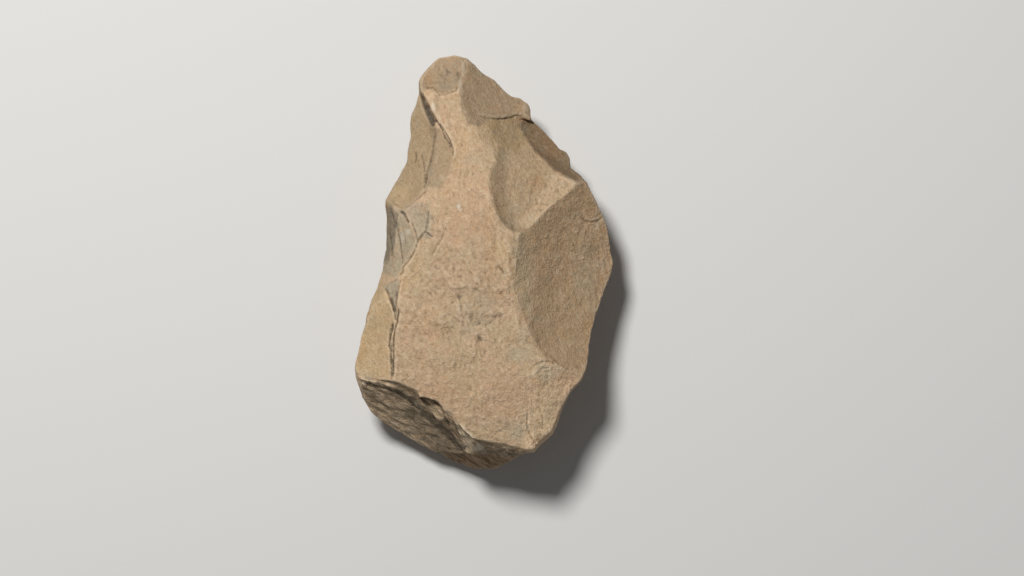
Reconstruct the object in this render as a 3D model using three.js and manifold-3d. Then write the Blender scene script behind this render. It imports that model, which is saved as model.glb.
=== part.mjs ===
// A flaked stone hand axe, lying on its flat lower face with the tip towards +Y.
// Millimetres, +Z up. The origin is on the resting face, under the middle of the outline.
//
// The stone is made as a knapper makes it: a rough-out with a sinuous edge, a domed upper face, and then
// one flake after another struck off. Each leaves a shallow bowl, and the ridges are where bowls meet.

import * as THREE from "three";
import { mergeVertices } from "three/addons/utils/BufferGeometryUtils.js";
import Module from "manifold-3d";

const wasm = await Module();
wasm.setup();

// Driving sizes of the whole stone
const LENGTH = 180; // butt to tip
const WIDTH = 112.4; // across the widest part
const THICKNESS = 54; // resting face to the top of the dome

// Domed upper face
const DOME_TOP = [-17, -12.2]; // per cent of width and length
const DOME_FALL_ACROSS = 2.3; // how far it falls in half the width
const DOME_FALL_ALONG = 16.2; // how far it falls in half the length

// Rough-out, whose sides lean in above and below the edge
const LOWER_RING_SHARE = 0.86;
const UPPER_RING_SHARE = 0.95;
const SPARE_HEIGHT = 12; // stone above the dome, struck off first

// Flake cutters
const CELL = 4.5; // width of a facet on a bowl
const WIDEST_REACH = LENGTH / 1.5; // half the side of the largest cutter
const REACH_PER_HOLLOW = 1.5;
const LID_HEIGHT = 1.5 * THICKNESS;
const SLIVER = 0.02; // thinner slivers between crossing bowls are merged away

const STONE_COLOUR = 0xb89a78;
const STONE_ROUGHNESS = 0.92;

// Outline seen from above, clockwise from the tip. Each spot is [across, along, up], in per cent of the
// width from the middle, of the length from the middle, and of the thickness from the resting face.
const EDGE = [
  [-11.3, 50, 46.3], [-6.7, 49.2, 44.4], [-1.3, 46.2, 42.6], [4, 44.1, 39.8], [7.7, 41.5, 38.9],
  [10.5, 40.1, 38], [13.6, 39.6, 37], [15.9, 38, 37], [18, 34.4, 36.1], [23.2, 32.2, 42.6],
  [26.8, 29.4, 42.6], [28.9, 27.3, 42.6], [31.6, 26.7, 44.4], [32.6, 25.1, 46.3],
  [32.8, 22.8, 48.1], [36.6, 21.1, 50], [39.3, 19.4, 51.9], [40.4, 17.9, 51.9], [43.9, 13.2, 51.9],
  [46.9, 9.2, 51.9], [48.1, 5.3, 51.9], [50, 0.1, 50.9], [48.8, -2.6, 51.9], [46, -7.2, 55.6],
  [42.7, -12.9, 61.1], [40, -20.1, 68.5], [39.1, -25.8, 70.4], [37.5, -27.9, 72.2],
  [33.1, -31.1, 70.4], [29.7, -34.9, 66.7], [27.8, -38.5, 63], [26.1, -40.9, 61.1],
  [22.4, -43.1, 57.4], [19, -45.5, 55.6], [14.4, -46.2, 46.3], [10.5, -47.8, 33.3],
  [7.7, -48.6, 25.9], [4.8, -49.5, 18.5], [-1.7, -49.6, 15.7], [-9.4, -50, 14.8],
  [-13.6, -49.2, 16.7], [-16.5, -47.4, 18.5], [-19.3, -45.5, 20.4], [-24.9, -43.9, 22.2],
  [-32, -41.3, 24.1], [-39.7, -38.2, 25.9], [-44.1, -35.6, 27.8], [-46.9, -32.3, 35.2],
  [-48.5, -29.2, 46.3], [-49.7, -25.6, 66.7], [-49.5, -23.4, 72.2], [-48.3, -20.8, 74.1],
  [-47.5, -17.7, 74.1], [-45.4, -14.6, 74.1], [-44.8, -11, 72.2], [-44.7, -7.2, 72.2],
  [-42.5, -3.6, 70.4], [-40, -1.3, 68.5], [-38.1, 3.6, 64.8], [-37.4, 10, 64.8], [-38, 13.6, 64.8],
  [-37.7, 15.3, 63], [-34.5, 18.9, 61.1], [-30.8, 22.4, 57.4], [-29.7, 24.2, 55.6],
  [-29.5, 26.8, 53.7], [-28.5, 30.4, 51.9], [-29.2, 33, 50], [-28.5, 34.9, 48.1],
  [-26.6, 37.4, 46.3], [-24.9, 40.9, 44.4], [-25.2, 43.2, 44.4], [-24.1, 45, 44.4],
  [-20.7, 47.4, 44.4], [-17.8, 49.2, 46.3],
];

// Flakes off the upper face, in the order they were struck. Each passes through three spots: one with a
// height is fixed, and one without lies on the stone as it is by then. hollow is the bowl's radius, in per
// cent of the length, and within limits the flake to an area where it ended in a step.
const UPPER_FLAKES = {
  rightShoulder: { through: [[10.9, 6.9], [14, -16.5], [17.4, -5.3, 91.9]], hollow: 333 },
  rightFace: { through: [[13.2, 5.5], [23.9, -23.4], [35.4, 19.1, 68.5]], hollow: 72 },
  tipRight: { through: [[-9.4, 41.1], [-2.9, 30.4], [15.1, 36.6, 44.4]], hollow: 75 },
  stepBelowTheTip: {
    through: [[-0.2, 34.3], [4.8, 24.6, 80], [19.3, 22.7, 67.4]],
    hollow: 33,
    within: [
      [-2.5, 35], [-0.2, 34.8], [2.1, 34.6], [7.1, 34.7], [12.1, 35.3], [14.7, 34.9], [18.2, 34.1],
      [59.6, 34], [59.6, 15.1], [-1.7, 15.1], [-4.8, 27],
    ],
  },
  rightScoop: {
    through: [[4.4, 24.6], [9.4, 7.7], [28.5, 15.3, 72.6]],
    hollow: 44,
    within: [
      [-17, 34.7], [-0.2, 34.6], [7.1, 34.4], [13.6, 34.9], [51.9, 31.8], [51.9, 19.6],
      [37.7, 19.6], [33.5, 17.5], [28.5, 15.3], [23.9, 13.3], [20.5, 11], [17.8, 8.6], [10.5, 6.5],
      [-17, 0.7],
    ],
  },
  rightNotch: {
    through: [[17.8, 27.8], [34.7, 19.4], [28.9, 27.3, 44.4]],
    hollow: 45,
    within: [[10.5, 34.4], [14.7, 34.8], [18.2, 34.1], [59.6, 34], [59.6, 7.9], [5.9, 7.9]],
  },
  lowerRight: { through: [[24.3, -23.7], [16.7, -42.3], [37, -27.8]], hollow: 111 },
  leftOfTheTip: {
    through: [[-20.9, 33.7, 59.3], [-23.2, 17.9, 81.5], [-29.3, 33, 48.1]],
    hollow: 61,
    within: [
      [-27.8, 41], [-24.7, 40.9], [-22, 39], [-20.7, 36.8], [-18.6, 34.4], [-19.2, 28.2],
      [-20.5, 24.2], [-22, 19.9], [-23.2, 17.7], [-27.4, 14.6], [-30.8, 12.2], [-37.7, 15.3],
      [-43.9, 15.3], [-43.9, 41.1],
    ],
  },
  stripBesideTheTip: {
    through: [[-18.2, 33.7, 63.9], [-13.6, 28, 75.6], [-20.9, 18.4, 84.3]],
    hollow: 50,
    within: [
      [-22.4, 39.2], [-20.5, 37.1], [-18.2, 34.6], [-15.3, 30.9], [-12.8, 28.3], [-12.1, 24.6],
      [-17, 17.5], [-19.7, 16.5], [-24.3, 16.7], [-23.6, 19.9], [-22, 24.2], [-20.9, 28.2],
      [-21.3, 32.3], [-24.7, 36.1], [-26.6, 40.4],
    ],
  },
  leftTriangle: {
    through: [[-30.5, 11.7, 85.2], [-23.2, 17, 83.3], [-23.2, 7.2, 95.9]],
    hollow: 83,
    within: [
      [-32.8, 13.9], [-23, 18.2], [-19.3, 16], [-20.1, 9.1], [-25.1, 4.1], [-28.5, 5.5],
      [-32.4, 9.3],
    ],
  },
  leftBump: {
    through: [[-30.8, 11, 83.3], [-27, 3.1, 94.4], [-33.9, 1.9, 82.4]],
    hollow: 33,
    within: [
      [-40, 15.6], [-37, 15.8], [-30.8, 12.7], [-29.3, 9.8], [-27, 7.9], [-25.3, 5], [-27.8, 1.4],
      [-31.2, -1.7], [-33.5, -3.1], [-37, -2.9], [-40, -0.2], [-47.7, 1.9], [-47.7, 15.1],
    ],
  },
  leftBumpSide: {
    through: [[-35.8, 12.9, 71.3], [-35.8, -1.7, 80.6], [-38.1, 5.5, 60.2]],
    hollow: 33,
    within: [
      [-51.5, 17.5], [-27.8, 17.5], [-27.8, 0.2], [-32.4, -2.9], [-35.8, -5], [-36.2, -6.7],
      [-37, -8.6], [-40.8, -10.3], [-51.5, -11.2],
    ],
  },
  lowerLeft: {
    through: [[-35.4, -26.8, 94.8], [-35.4, -13.6, 95.2], [-48.8, -23.2, 75.9]],
    hollow: 111,
    within: [
      [-41.6, 0.2], [-37, -1.9], [-32.8, -3.6], [-33.1, -8.9], [-33.5, -13.2], [-34.7, -16],
      [-35.8, -19.6], [-35.1, -23.7], [-35.4, -28.5], [-35.1, -37.6], [-55.4, -37.6], [-55.4, 0.2],
    ],
  },
  leftNotch: {
    through: [[-37, -5.7, 89.3], [-33.1, -4.8, 96.7], [-34.3, -10.3, 93.3]],
    hollow: 44,
    within: [[-38.5, -5.1], [-35.1, -3.8], [-32.4, -3.9], [-32.9, -8.6], [-33.7, -12.7], [-35.8, -9.1]],
  },
  butt: {
    through: [[-42, -28.2, 85.2], [-11.3, -42.6, 50], [-32.4, -40.9, 27.8]],
    hollow: 144,
    within: [
      [-70.7, -18.4], [-30.5, -25.6], [-24.3, -32.3], [-18.2, -36.8], [-15.1, -38.3],
      [-10.9, -42.6], [-7.1, -46.2], [-7.1, -61.5], [-70.7, -61.5],
    ],
  },
  buttLedge: {
    through: [[-19, -33.3, 85.2], [-14.4, -38.5, 78.7], [-23.2, -33.3, 79.6]],
    hollow: 80,
    within: [
      [-24.5, -31.9], [-20.9, -32.2], [-17.6, -33.3], [-14.7, -35.9], [-12.1, -38.8],
      [-15.5, -39.5], [-20.1, -36.8], [-23.6, -34],
    ],
  },
  buttMiddle: {
    through: [[-12.5, -36.6], [-4.4, -41.9], [-9.8, -43.8, 55.6]],
    hollow: 50,
    within: [
      [-14.4, -35.2], [-2.5, -38.8], [-2.5, -42.3], [-1.7, -46.2], [-11.7, -46.2], [-15.9, -38.8],
    ],
  },
  buttRight: {
    through: [[-4.4, -41.9], [18.2, -45.2, 81.5], [5.9, -46.2, 63.9]],
    hollow: 200,
    within: [[-9.4, -38.8], [28.9, -38.8], [28.9, -61.5], [-10.9, -61.5]],
  },
  buttFoot: {
    through: [[-18.2, -45.7, 20.4], [5.9, -45.9, 59.3], [-3.6, -49.9, 15.7]],
    hollow: 100,
    within: [
      [-24.7, -46.7], [-18.6, -45.6], [-1.7, -45.7], [5.9, -45.8], [18.6, -45.2], [28.9, -45.9],
      [28.9, -61.5], [-24.7, -61.5],
    ],
  },
  tip: { through: [[-14.7, 40.3], [-21.6, 41.1], [-12.5, 49.8, 47.2]], hollow: 14 },
};

// Flakes off the lower face, clockwise from the tip as seen from above
const LOWER_FLAKES = {
  underTip: { through: [[-20.9, 48.1, 38], [-5.6, 49, 36.1], [-11.3, 27, 0]], hollow: 83 },
  underTipRight: { through: [[2.1, 44.7, 33.3], [16.7, 36.1, 33.3], [-2.5, 24.6, 0]], hollow: 67 },
  underUpperRight: { through: [[23.2, 32.1, 34.3], [38.9, 19.4, 45.4], [15.5, 17.5, 0]], hollow: 56 },
  underRight: { through: [[44.2, 12.7, 46.3], [49.6, 0.2, 45.4], [27, 4.3, 0]], hollow: 56 },
  underLowerRight: { through: [[46.5, -6.9, 50], [40, -20.1, 63], [23.2, -13.6, 0]], hollow: 50 },
  underRightCorner: { through: [[38.1, -28, 63], [28.2, -38.8, 55.6], [13.6, -25.6, 0]], hollow: 50 },
  underButtRight: { through: [[22.4, -43.1, 55.6], [9.8, -48.1, 37], [5.9, -31.6, 0]], hollow: 50 },
  underButt: { through: [[4.8, -49.8, 14.8], [-13.6, -49.3, 13], [-5.6, -40, 0]], hollow: 39 },
  underButtLeft: { through: [[-19.3, -45.5, 18.5], [-39.7, -38, 22.2], [-19, -34, 0]], hollow: 44 },
  underLeftCorner: {
    through: [[-44.6, -35.4, 25.9], [-49.8, -25.1, 59.3], [-26.6, -24.4, 0]],
    hollow: 50,
  },
  underLowerLeft: { through: [[-49.2, -20.8, 66.7], [-45, -8.9, 64.8], [-26.6, -13.6, 0]], hollow: 56 },
  underLeft: { through: [[-40.8, -1.7, 63], [-38.1, 13.2, 55.6], [-20.9, 4.3, 0]], hollow: 56 },
  underUpperLeft: { through: [[-36.6, 17.5, 55.6], [-29.7, 27, 48.1], [-17, 18.7, 0]], hollow: 56 },
  underTipLeft: { through: [[-29.3, 33.5, 42.6], [-25.5, 40.9, 38.9], [-13.2, 30.6, 0]], hollow: 56 },
};

// A point from per cent of the stone's sizes
function point([across, along, up = 0]) {
  return new THREE.Vector3(across * WIDTH, along * LENGTH, up * THICKNESS).divideScalar(100);
}

// A closed three.js geometry as a solid for joining and cutting
function solidFrom(geometry) {
  geometry.deleteAttribute("normal");
  geometry.deleteAttribute("uv");
  const merged = mergeVertices(geometry, 1e-4);
  const vertProperties = merged.attributes.position.array;
  const triVerts = new Uint32Array(merged.index.array);
  return new wasm.Manifold(new wasm.Mesh({ numProp: 3, vertProperties, triVerts }));
}

// A solid's surface as a three.js geometry
function geometryFrom(solid) {
  const { vertProperties, triVerts } = solid.getMesh();
  const geometry = new THREE.BufferGeometry();
  geometry.setAttribute("position", new THREE.BufferAttribute(vertProperties, 3));
  geometry.setIndex(new THREE.BufferAttribute(triVerts, 1));
  geometry.computeVertexNormals();
  return geometry;
}

// The rough-out: rings round the stone at its base, edge and top, joined by side faces, with flat caps
function roughOut() {
  const edge = EDGE.map(point).reverse(); // anticlockwise seen from above
  const leaningIn = (share, height) => edge.map((p) => new THREE.Vector3(p.x * share, p.y * share, height));
  const rings = [
    leaningIn(LOWER_RING_SHARE, 0),
    edge,
    leaningIn(UPPER_RING_SHARE, THICKNESS + SPARE_HEIGHT),
  ];
  const count = edge.length;
  const index = [];
  for (let ring = 0; ring < rings.length - 1; ring++) {
    for (let i = 0; i < count; i++) {
      const a = ring * count + i;
      const b = ring * count + ((i + 1) % count);
      index.push(a, b, b + count, a, b + count, a + count);
    }
  }
  const flat = edge.map((p) => new THREE.Vector2(p.x, p.y));
  const lastRing = (rings.length - 1) * count;
  for (const [a, b, c] of THREE.ShapeUtils.triangulateShape(flat, [])) {
    index.push(a, c, b, a + lastRing, b + lastRing, c + lastRing);
  }
  const geometry = new THREE.BufferGeometry().setFromPoints(rings.flat());
  geometry.setIndex(index);
  return solidFrom(geometry);
}

// A block whose lower face is bent to a bowl, in its own frame: the bowl's deepest point is the origin, and
// the block stands on it along +Z. A negative radius gives a dome.
function bowlBlock(radiusX, radiusY, reach) {
  const cells = Math.round((2 * reach) / CELL);
  const rise = (x, y) => (x * x) / (2 * radiusX) + (y * y) / (2 * radiusY);
  const lid = LID_HEIGHT + Math.max(0, rise(reach, reach));
  const geometry = new THREE.BoxGeometry(2 * reach, 2 * reach, lid, cells, cells, 1);
  geometry.translate(0, 0, lid / 2);
  const position = geometry.attributes.position;
  for (let i = 0; i < position.count; i++) {
    if (position.getZ(i) < lid / 2) {
      position.setZ(i, rise(position.getX(i), position.getY(i)));
    }
  }
  return geometry;
}

// The height of the stone's present surface over a plan spot, seen from above
function surfaceSpot(stone, spot) {
  const mesh = new THREE.Mesh(geometryFrom(stone));
  const from = point(spot).setZ(2 * THICKNESS);
  const hit = new THREE.Raycaster(from, new THREE.Vector3(0, 0, -1)).intersectObject(mesh)[0];
  return hit.point;
}

// The cutter for one flake: a bowl through three points, opening upwards (side 1) or downwards (side -1)
function flakeCutter(stone, flake, side) {
  const [a, b, c] = flake.through.map((s) => (s.length === 3 ? point(s) : surfaceSpot(stone, s)));
  const triangle = new THREE.Triangle(a, b, c);
  const normal = triangle.getNormal(new THREE.Vector3());
  if (normal.z * side < 0) normal.negate();
  const centre = circumcentre(a, b, c);
  const radius = (flake.hollow / 100) * LENGTH;
  const sag = centre.distanceToSquared(a) / (2 * radius);
  const reach = Math.min(WIDEST_REACH, REACH_PER_HOLLOW * radius);
  const along = new THREE.Vector3(0, 0, 1).cross(normal).normalize();
  const frame = new THREE.Matrix4().makeBasis(along, normal.clone().cross(along), normal);
  frame.setPosition(centre.addScaledVector(normal, -sag));
  const cutter = solidFrom(bowlBlock(radius, radius, reach).applyMatrix4(frame));
  return flake.within ? cutter.intersect(areaPrism(flake.within)) : cutter;
}

// The point at equal distances from three others, in their plane
function circumcentre(a, b, c) {
  const toB = b.clone().sub(a);
  const toC = c.clone().sub(a);
  const cross = toB.clone().cross(toC);
  const first = cross.clone().cross(toB).multiplyScalar(toC.lengthSq());
  const second = toC.clone().cross(cross).multiplyScalar(toB.lengthSq());
  return first.add(second).divideScalar(2 * cross.lengthSq()).add(a);
}

// An upright prism over an area drawn in plan
function areaPrism(spots) {
  const shape = new THREE.Shape(spots.map(point).map((p) => new THREE.Vector2(p.x, p.y)));
  const geometry = new THREE.ExtrudeGeometry(shape, { depth: 2 * THICKNESS, bevelEnabled: false });
  return solidFrom(geometry);
}

// The cutter for the dome: everything above the old upper face
function domeCutter() {
  const radiusAcross = (WIDTH / 2) ** 2 / (2 * DOME_FALL_ACROSS);
  const radiusAlong = (LENGTH / 2) ** 2 / (2 * DOME_FALL_ALONG);
  const block = bowlBlock(-radiusAcross, -radiusAlong, WIDEST_REACH);
  const top = point([...DOME_TOP, 100]);
  return solidFrom(block.translate(top.x, top.y, top.z));
}

// The stone with the middle of its outline over the origin and its resting face at height zero
function centred(stone) {
  const box = stone.boundingBox();
  const middle = [0, 1].map((axis) => (box.min[axis] + box.max[axis]) / 2);
  return stone.translate(-middle[0], -middle[1], -box.min[2]);
}

// The whole stone, one flake after another
function knap() {
  let stone = roughOut().subtract(domeCutter());
  for (const flake of Object.values(UPPER_FLAKES)) stone = stone.subtract(flakeCutter(stone, flake, 1));
  for (const flake of Object.values(LOWER_FLAKES)) stone = stone.subtract(flakeCutter(stone, flake, -1));
  return centred(stone.asOriginal().simplify(SLIVER));
}

const stoneLook = new THREE.MeshStandardMaterial({
  color: STONE_COLOUR,
  roughness: STONE_ROUGHNESS,
  metalness: 0,
});
const handAxe = new THREE.Mesh(geometryFrom(knap()), stoneLook);
handAxe.name = "hand_axe";

const model = new THREE.Group();
model.add(handAxe);

export default model;
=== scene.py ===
"""A flaked stone hand axe lying on a pale table, seen from straight above.

The stone's shape comes from its solid. Here it gets the surface of weathered sandstone: soft hollows and
lumps, grain, cracks, small steps and worn ridges as real relief, and a mottled colour with painted shade
and painted light in places.
"""

import math

import bmesh
import bpy
import numpy as np
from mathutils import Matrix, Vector


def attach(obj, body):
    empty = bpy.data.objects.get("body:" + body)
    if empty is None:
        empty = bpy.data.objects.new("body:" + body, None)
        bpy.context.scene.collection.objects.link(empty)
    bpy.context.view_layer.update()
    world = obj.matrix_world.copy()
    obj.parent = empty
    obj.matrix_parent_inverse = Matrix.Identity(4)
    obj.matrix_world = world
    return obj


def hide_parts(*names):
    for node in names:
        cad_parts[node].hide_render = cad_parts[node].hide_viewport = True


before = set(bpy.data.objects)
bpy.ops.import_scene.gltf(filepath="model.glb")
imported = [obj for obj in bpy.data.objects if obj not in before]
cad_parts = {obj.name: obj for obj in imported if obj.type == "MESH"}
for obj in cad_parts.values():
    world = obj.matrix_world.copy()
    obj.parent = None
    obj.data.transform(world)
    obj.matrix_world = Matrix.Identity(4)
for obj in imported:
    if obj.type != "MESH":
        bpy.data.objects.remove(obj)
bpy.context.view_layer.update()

MM = 0.001
SEED = 7  # each noise on the mesh has its own seed, counted up from this one
LATTICE = 256
NOISE_SPREAD = 1.7  # brings a noise to between about -1 and 1

# Mesh of the stone. Lengths from here to the colours are in millimetres.
WELD = 0.001
VOXEL = 0.42
SMOOTH_ROUNDS = 3
MOST_TRIANGLES = 196000

# Wear, which fades the ridges inside the worn areas
WORN_ROUNDS = 140
WORN_FROM = 22.0  # height above the table
WORN_SOFT = 2.0

# Relief all over the stone, as noises of a size and a height. The finer ones are weaker on steep faces.
BROAD_NOISES = [(17.0, 0.55), (7.0, 0.32)]
FINE_NOISES = [(3.2, 0.19), (1.7, 0.12), (1.0, 0.07)]
STEEP_SHARE = 0.6

# Faint streaks along the main face, and the low steps over its middle
WARP = 2.0
WARP_SIZE = 9.0
STREAK_SLANT = 0.3
STREAK_LENGTH = 2.4
STREAK_DEPTH = 3.0
STREAK_SIZE = 1.5
STREAK_HEIGHT = 0.24
STEPS_AT = (-8.8, -17.9)
STEPS_HALF = (20.0, 27.0)
STEP_SLANT = 0.5
STEP_SQUEEZE = 0.8
STEP_SIZE = 9.0
STEP_COUNT = 3.0
STEP_DEPTH = 0.5

# Fine layers of the butt
LAYER_TURN = math.radians(-38.0)
LAYER_STRETCH = 5.0
LAYER_RISE = 0.4
LAYER_WANDERS = [(10.0, 1.6), (4.0, 0.5)]  # size and height of the noises that bend them
COARSE_LAYER = 2.2
COARSE_DEPTH = 0.42
FINE_LAYER = 1.0
FINE_DEPTH = 0.26
BUTT_LUMP = 4.5
BUTT_LUMP_DEPTH = 0.35

# Grooves of the marks and their dark lines: how far they wander, and the share of the length that tapers
GROOVE = {"wander": 0.22, "ends": 0.12}
DARK_LINE = {"wander": 0.20, "ends": 0.10}
DARK_LINE_WIDTH = 0.85  # share of the groove's width
WANDER_SIZE = 1.6
MARK_MARGIN = 3.0

# Uneven edges of areas and patches, and how fast a lump dies out
AREA_WANDER = 0.7  # share of the area's soft edge
AREA_WANDER_SIZE = 2.5
PATCH_WANDER = 0.35  # share of the patch's half size
PATCH_WANDER_SIZE = 5.0
LUMP_FALL = 1.5

# The resting face, which only gets dents: where it begins and ends, as heights, and how much relief it takes
UNDER_HEIGHTS = (3.0, 0.5)
UNDER_SHARE = 0.35

# How far the surface has to bend for a full ridge, in the wide and in the near comparison
RIDGE_BEND = 0.22
GRAIN_BEND = 0.05
MOST_BEND = 1.5


def mark(line, depth, width, dark, raised=0.0, fall=3.0):
    """One of the cracks or small steps, in millimetres. dark is the share of its dark line, which is dark in
    cracks and painted shadow below steps. raised lifts the stone on its left, dying out over fall.
    """
    return {"line": line, "depth": depth, "width": width, "dark": dark, "raised": raised, "fall": fall}


def lump(at, half, lift):
    """A lift or dip of the upper face, at a spot, with its half sizes."""
    return {"at": at, "half": half, "lift": lift}


def tone(area, soft, shade, brown=0.0, grey=0.0, yellow=0.0):
    """An area with its own tone. shade multiplies the colour, and in many areas it darkens as painted shade
    or lightens as painted light; the last three are shares of a colour.
    """
    patches = {"brown_patch": brown, "grey_patch": grey, "yellow_patch": yellow}
    return {"area": area, "soft": soft, "shade": shade, "patches": patches}


def patch(at, half, share):
    """A patch of colour, at a spot, with its half sizes."""
    return {"at": at, "half": half, "share": share}


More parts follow.
